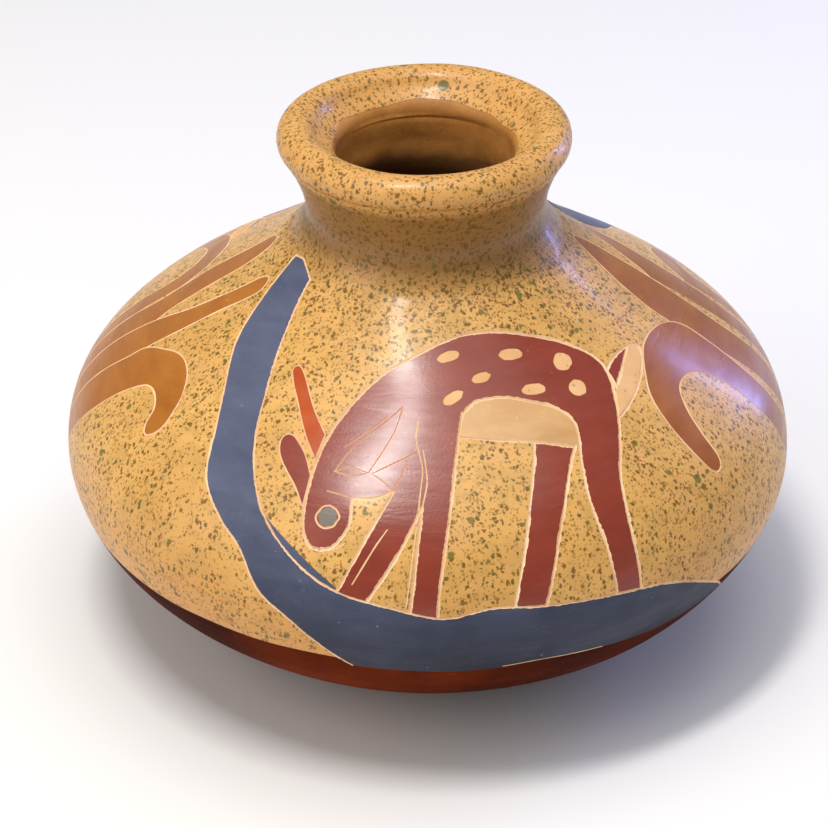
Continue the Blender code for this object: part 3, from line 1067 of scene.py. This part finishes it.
class Clay:
    """A node material for clay or slip, with a few short ways to add nodes.

    A colour is a socket, or (red, green, blue) as it looks on a screen.
    """

    def __init__(self, name, specular, coat=0.0, coat_roughness=0.2):
        self.material = bpy.data.materials.new(name)
        self.material.use_nodes = True
        self.tree = self.material.node_tree
        self.shader = self.tree.nodes["Principled BSDF"]
        self.shader.inputs["Specular IOR Level"].default_value = specular
        self.shader.inputs["Coat Weight"].default_value = coat
        self.shader.inputs["Coat Roughness"].default_value = coat_roughness
        self.place = self.tree.nodes.new("ShaderNodeTexCoord").outputs["Object"]
        self.height = self.node("ShaderNodeSeparateXYZ", {0: self.place}).outputs["Z"]

    def node(self, kind, inputs, **settings):
        """A new node. Each of its inputs is a socket to link, or a plain value."""
        node = self.tree.nodes.new(kind)
        for key, value in settings.items():
            setattr(node, key, value)
        for key, value in inputs.items():
            if isinstance(value, bpy.types.NodeSocket):
                self.tree.links.new(value, node.inputs[key])
            else:
                node.inputs[key].default_value = value
        return node

    def math(self, operation, first, second, clamp=False):
        inputs = {0: first, 1: second}
        return self.node("ShaderNodeMath", inputs, operation=operation, use_clamp=clamp).outputs[0]

    def product(self, first, second):
        return self.math("MULTIPLY", first, second)

    def total(self, first, second):
        return self.math("ADD", first, second)

    def vector(self, operation, *inputs):
        return self.node("ShaderNodeVectorMath", dict(enumerate(inputs)), operation=operation).outputs

    def stretched(self, up):
        """The place, with its height multiplied."""
        return self.vector("MULTIPLY", self.place, (1, 1, up))[0]

    def noise(self, scale, detail, rough=0.5, place=None, distortion=0.0):
        inputs = {"Vector": place or self.place, "Scale": scale, "Detail": detail, "Roughness": rough}
        return self.node("ShaderNodeTexNoise", {**inputs, "Distortion": distortion}).outputs["Fac"]

    def band(self, value, low, high, to_low=0.0, to_high=1.0):
        """Maps low..high onto to_low..to_high, held at both ends."""
        inputs = {"Value": value, "From Min": low, "From Max": high, "To Min": to_low, "To Max": to_high}
        return self.node("ShaderNodeMapRange", inputs).outputs["Result"]

    def unevenness(self, scale, detail, reach, rough=0.5):
        """Noise that swings this far to both sides of nothing."""
        return self.band(self.noise(scale, detail, rough), 0.3, 0.7, -reach, reach)

    def between(self, start, end):
        """A mask over a range of heights, with a soft start and end."""
        return self.product(self.band(self.height, *start), self.band(self.height, *end))

    def mix(self, factor, *colours):
        first, second = (tone(*colour) if isinstance(colour, tuple) else colour for colour in colours)
        return self.node("ShaderNodeMix", {0: factor, 6: first, 7: second}, data_type="RGBA").outputs[2]

    def layer(self, under, mask, strength, colour):
        """Lays a colour over another where the mask is."""
        return self.mix(self.product(mask, strength), under, colour)

    def specks(self, cell, reach, share, warp, edge, shift=0.0, squash=1.0):
        """Spatter: a mask of irregular dots. Share is how many cells hold one, reach its largest size."""
        wobble = self.node("ShaderNodeTexNoise", {"Vector": self.place, "Scale": 1.4 / cell, "Detail": 2.0})
        away = self.vector("MULTIPLY_ADD", wobble.outputs["Color"], (warp * cell,) * 3, self.place)[0]
        moved = self.vector("MULTIPLY_ADD", away, (1, 1, squash), (shift, shift * 1.7, shift * 0.6))[0]
        cells = self.node("ShaderNodeTexVoronoi", {"Vector": moved, "Scale": 1 / cell}).outputs
        pick = self.node("ShaderNodeSeparateColor", {0: cells["Color"]}).outputs
        size = self.band(pick["Blue"], 0, 1, reach * 0.55, reach)
        size = self.product(size, self.math("LESS_THAN", pick["Red"], share))
        over = self.math("SUBTRACT", size, cells["Distance"])
        return self.math("MULTIPLY", over, 1 / edge, clamp=True), pick["Green"]

    def drop(self, centre, radius):
        """One round drop of slip at a place on the object."""
        return self.band(self.vector("DISTANCE", self.place, centre)["Value"], radius, radius * 0.75)

    def bump(self, height, distance, strength, under=None):
        inputs = {"Height": height, "Distance": distance, "Strength": strength}
        if under is not None:
            inputs["Normal"] = under
        return self.node("ShaderNodeBump", inputs).outputs["Normal"]

    def burnish(self, shine_low, shine_high):
        """Roughness and normal of a surface rubbed level with a stone and waxed."""
        strokes = self.noise(55, 3, 0.6, self.stretched(7), 0.3)
        patches = self.noise(38, 3, 0.55)
        blend = self.total(self.product(strokes, 0.55), self.product(patches, 0.45))
        rough = self.band(blend, 0.36, 0.64, shine_low, shine_high)
        return rough, self.bump(self.noise(1400, 3, 0.6), 0.00006, 0.5, self.bump(strokes, 0.00022, 0.6))

    def done(self, colour, roughness, normal):
        for key, socket in (("Base Color", colour), ("Roughness", roughness), ("Normal", normal)):
            self.tree.links.new(socket, self.shader.inputs[key])
        return self.material


def speckled_material(name):
    """Ochre slip, spattered with dark olive and green, thicker towards the neck."""
    clay = Clay(name, specular=0.34, coat=0.13, coat_roughness=0.12)
    colour = clay.mix(clay.band(clay.noise(26, 4, 0.55), 0.35, 0.65), (227, 177, 101), (212, 160, 85))
    patches = clay.band(clay.noise(170, 4, 0.65), 0.46, 0.6)
    colour = clay.layer(colour, patches, 0.6, (196, 152, 82))
    blush = clay.band(clay.noise(90, 3, 0.6, clay.stretched(1.6)), 0.55, 0.75)
    colour = clay.layer(colour, blush, 0.5, (226, 170, 112))
    colour = clay.layer(colour, clay.band(clay.height, *WARM_BELLY), 0.65, (218, 146, 60))
    colour = clay.layer(colour, clay.band(clay.height, *LIP_TOP), 0.5, (214, 156, 88))
    # Painted shade under the lip, darkening the neck over its own browner tone
    colour = clay.layer(colour, clay.between(*NECK_TONE_AND_PAINTED_SHADE), 0.85, (140, 98, 50))
    rough_neck = clay.between(*ROUGH_NECK)
    clumps = clay.total(clay.unevenness(60, 3, 0.2), clay.unevenness(330, 2, 0.25))
    dense = clay.total(clay.band(clay.height, *DENSER_UPWARDS, 0.02, 0.22), clumps)
    dense = clay.total(dense, clay.product(rough_neck, 0.2))
    for *dots, strength, first, second in (
        # cell in metres, largest dot and share of cells, warp, softness, shift, squash, strength, two tones
        (0.0008, 0.55, clay.total(dense, 0.62), 1.0, 0.2, 0.0, 1.0, 0.74, (148, 104, 38), (122, 96, 32)),
        (0.0012, 0.52, clay.total(dense, 0.60), 1.2, 0.16, 0.31, 0.62, 0.92, (124, 82, 24), (94, 82, 24)),
        (0.0040, 0.28, 0.36, 0.7, 0.06, 0.77, 0.8, 0.85, (90, 98, 34), (114, 104, 36)),
        (0.0034, 0.24, 0.14, 0.6, 0.08, 1.3, 1.0, 0.55, (140, 70, 34), (140, 70, 34)),
        (0.0013, 0.5, clay.product(rough_neck, 0.55), 1.6, 0.2, 2.1, 1.7, 0.75, (92, 58, 22), (92, 58, 22)),
    ):
        mask, tint = clay.specks(*dots)
        colour = clay.layer(colour, mask, strength, clay.mix(tint, first, second))
    colour = clay.layer(colour, clay.drop(LIP_DROP, LIP_DROP_RADIUS), 0.85, (86, 92, 44))
    smear = clay.band(clay.noise(95, 4, 0.65, clay.stretched(4.5)), 0.58, 0.72)
    smear = clay.product(smear, clay.band(clay.height, *SMEARED_BELLY))
    colour = clay.layer(colour, smear, 0.5, (150, 78, 40))
    return clay.done(colour, *clay.burnish(0.32, 0.5))


def slip_material(name, first, second, flecks, shine=(0.24, 0.40), dark=None, specular=0.42, coat=0.2):
    """A plain coloured slip with brush marks, pin-pricks of clay and rubbed patches."""
    clay = Clay(name, specular, coat, coat_roughness=0.16)
    brush = clay.noise(70, 4, 0.6, clay.stretched(3), 0.4)
    colour = clay.mix(clay.band(brush, 0.32, 0.68), first, second)
    # Painted shade: where a dark tone is given, the slip darkens towards the bottom of the vase
    if dark is not None:
        low = clay.total(clay.band(clay.height, *PAINTED_SHADE_LOW), clay.unevenness(30, 3, 0.2))
        colour = clay.layer(colour, low, 0.9, dark)
    colour = clay.layer(colour, clay.band(clay.noise(420, 3, 0.7), 0.62, 0.8), 0.2, flecks)
    pits, _ = clay.specks(0.003, 0.13, 0.25, 0.4, 0.05)
    colour = clay.layer(colour, pits, 0.6, flecks)
    return clay.done(colour, *clay.burnish(*shine))


def underside_material(name):
    """Dark red-brown slip with smoke clouds, scuffed, and worn where the vase stands."""
    clay = Clay(name, specular=0.01)
    colour = clay.mix(clay.band(clay.noise(22, 4, 0.6), 0.35, 0.65), (110, 41, 11), (60, 18, 6))
    colour = clay.layer(colour, clay.band(clay.noise(12, 3), 0.5, 0.72), 0.55, (44, 20, 14))
    scuffs = clay.band(clay.noise(300, 4, 0.75), 0.62, 0.8)
    colour = clay.layer(colour, scuffs, 0.4, (160, 84, 52))
    colour = clay.layer(colour, scuffs, clay.band(clay.height, *WORN_FOOT), (196, 132, 88))
    return clay.done(colour, *clay.burnish(0.42, 0.62))


def bare_material(name, first, second, roughness=0.8, painted_shade_below=None):
    """Unburnished fired clay: sandy, matt, with grains and pores, darkened with painted shade below a height
    when one is given.
    """
    clay = Clay(name, specular=0.35)
    colour = clay.mix(clay.band(clay.noise(60, 4, 0.6), 0.35, 0.65), first, second)
    grain, _ = clay.specks(0.0016, 0.3, 0.3, 0.5, 0.1)
    colour = clay.layer(colour, grain, 0.35, (92, 56, 30))
    if painted_shade_below is not None:
        wash = clay.band(clay.noise(70, 4, 0.6, clay.stretched(0.5)), 0.4, 0.62)
        colour = clay.layer(colour, wash, 0.5, (150, 96, 40))
        # Painted shade: the inside darkens below a wavering height, deep in the vase
        edge = clay.total(clay.height, clay.unevenness(55, 3, 0.0025, 0.6))
        colour = clay.layer(colour, clay.band(edge, *painted_shade_below), 0.85, (66, 38, 20))
    fine = clay.noise(900, 4, 0.65)
    normal = clay.bump(fine, 0.00012, 0.7, clay.bump(clay.noise(240, 3, 0.6), 0.0003, 0.5))
    return clay.done(colour, clay.band(fine, 0.3, 0.7, roughness - 0.12, roughness + 0.1), normal)


def make_looks():
    """Each look: its material, and the name of one of the record's slots."""
    blue = slip_material(
        "blue-grey slip", (97, 102, 126), (80, 88, 113), (132, 134, 148),
        # The dark tone is painted shade towards the bottom of the river
        shine=(0.4, 0.55), dark=(13, 18, 34), specular=0.2, coat=0.0,
    )
    golden = slip_material(
        "golden-brown slip", (176, 110, 36), (160, 94, 26), (206, 148, 82), specular=0.28, coat=0.1
    )
    russet = slip_material(
        "russet slip", (166, 98, 28), (148, 80, 18), (198, 134, 70), specular=0.34, coat=0.16
    )
    ash = slip_material("ash-grey slip", (132, 122, 108), (110, 102, 92), (166, 156, 140))
    scribed = bare_material("slip scribed thin", (232, 184, 148), (204, 146, 108), 0.55)
    # The bare clay is darkened with painted shade deep inside the vase
    raw = bare_material("bare clay", (206, 146, 74), (180, 122, 58), 0.55, INSIDE_PAINTED_SHADE)
    return {
        "speckled": (speckled_material("speckled ochre slip"), "speckled_slip"),
        "underside": (underside_material("red-brown slip"), "underside_slip"),
        "maroon": (slip_material("maroon slip", (143, 56, 35), (130, 48, 30), (180, 104, 66)), "maroon_slip"),
        "blue": (blue, "blue_slip"),
        "ash": (ash, "blue_slip"),
        "golden": (golden, "brown_slip"),
        "russet": (russet, "brown_slip"),
        "orange": (slip_material("orange slip", (188, 80, 8), (170, 64, 3), (206, 124, 50)), "orange_slip"),
        "buff": (slip_material("buff slip", (214, 170, 114), (200, 152, 98), (230, 192, 140)), "buff_slip"),
        "scraped": (bare_material("scraped clay", (236, 190, 136), (220, 168, 112), 0.6), "incised_clay"),
        "incised": (bare_material("clay in the cut lines", (244, 212, 172), (224, 180, 136)), "incised_clay"),
        "scribed": (scribed, "incised_clay"),
        "raw": (raw, "raw_clay"),
    }


# ---------------------------------------------------------------- camera, floor and lights

ELEVATION = math.radians(32)
CAMERA_DISTANCE = 0.703
SENSOR_WIDTH, FOCAL_LENGTH = 36, 115.1
AIM = Vector((-0.0037, 0, BELLY_HEIGHT + 0.003))
FLOOR_REACH = 4
SURROUNDINGS = 0.36
SOFTBOXES = (
    # name, azimuth and arc where the camera sees its glow, distance, size in metres, watts, colour
    ("key", -9, 44, 1.1, (0.13, 0.36), 6.5, (1, 0.97, 0.94)),
    ("side", 72, 30, 0.9, (0.055, 0.5), 2.8, (0.30, 0.37, 1)),
)
FILLS = (
    # name, location, size in metres, watts, colour
    ("left fill", (-0.9, -0.5, 0.7), (0.9, 0.9), 4.2, (1, 0.95, 0.88)),
    ("top fill", (0.1, 0.0, 1.5), (1.2, 1.2), 6.8, (1, 0.98, 0.95)),
)


def aim(item, location, target):
    item.location = location
    item.rotation_euler = (target - location).to_track_quat("-Z", "Y").to_euler()


def add_camera():
    data = bpy.data.cameras.new("camera")
    data.sensor_width = SENSOR_WIDTH
    data.lens = FOCAL_LENGTH
    camera = link("camera", data)
    back = Vector((0, -math.cos(ELEVATION), math.sin(ELEVATION)))
    aim(camera, AIM + back * CAMERA_DISTANCE, AIM)
    bpy.context.scene.camera = camera
    return camera


def add_light(name, location, target, size, watts, colour):
    data = bpy.data.lights.new(name, "AREA")
    data.shape = "RECTANGLE"
    data.size, data.size_y = size
    data.energy = watts
    data.color = colour
    aim(link(name, data), location, target)


def add_lights(camera):
    """Soft lights: two that glow in the burnished slip where they are meant to, and two that fill in."""
    for name, azimuth, arc, distance, *rest in SOFTBOXES:
        place = Vector(surface(azimuth, arc))
        normal = Vector(surface_normal(azimuth, arc))
        view = (camera.location - place).normalized()
        add_light(name, place + (2 * normal.dot(view) * normal - view) * distance, place, *rest)
    for name, location, *rest in FILLS:
        add_light(name, Vector(location), AIM, *rest)


def add_floor():
    mesh = bpy.data.meshes.new("floor")
    corners = [(-1, -1), (1, -1), (1, 1), (-1, 1)]
    mesh.from_pydata([(x * FLOOR_REACH, y * FLOOR_REACH, 0) for x, y in corners], [], [(0, 1, 2, 3)])
    paper = bpy.data.materials.new("pale paper")
    paper.use_nodes = True
    shader = paper.node_tree.nodes["Principled BSDF"]
    shader.inputs["Base Color"].default_value = (0.9, 0.9, 0.9, 1)
    shader.inputs["Roughness"].default_value = 0.9
    mesh.materials.append(paper)
    link("floor", mesh)


def add_surroundings():
    world = bpy.data.worlds.new("studio")
    bpy.context.scene.world = world
    world.use_nodes = True
    background = world.node_tree.nodes["Background"]
    background.inputs["Color"].default_value = (1, 0.985, 0.96, 1)
    background.inputs["Strength"].default_value = SURROUNDINGS


# ---------------------------------------------------------------- putting it together

bpy.context.scene.view_settings.view_transform = "Standard"
looks = make_looks()
build_clay(looks["raw"])
build_coat(looks)
add_floor()
add_surroundings()
add_lights(add_camera())
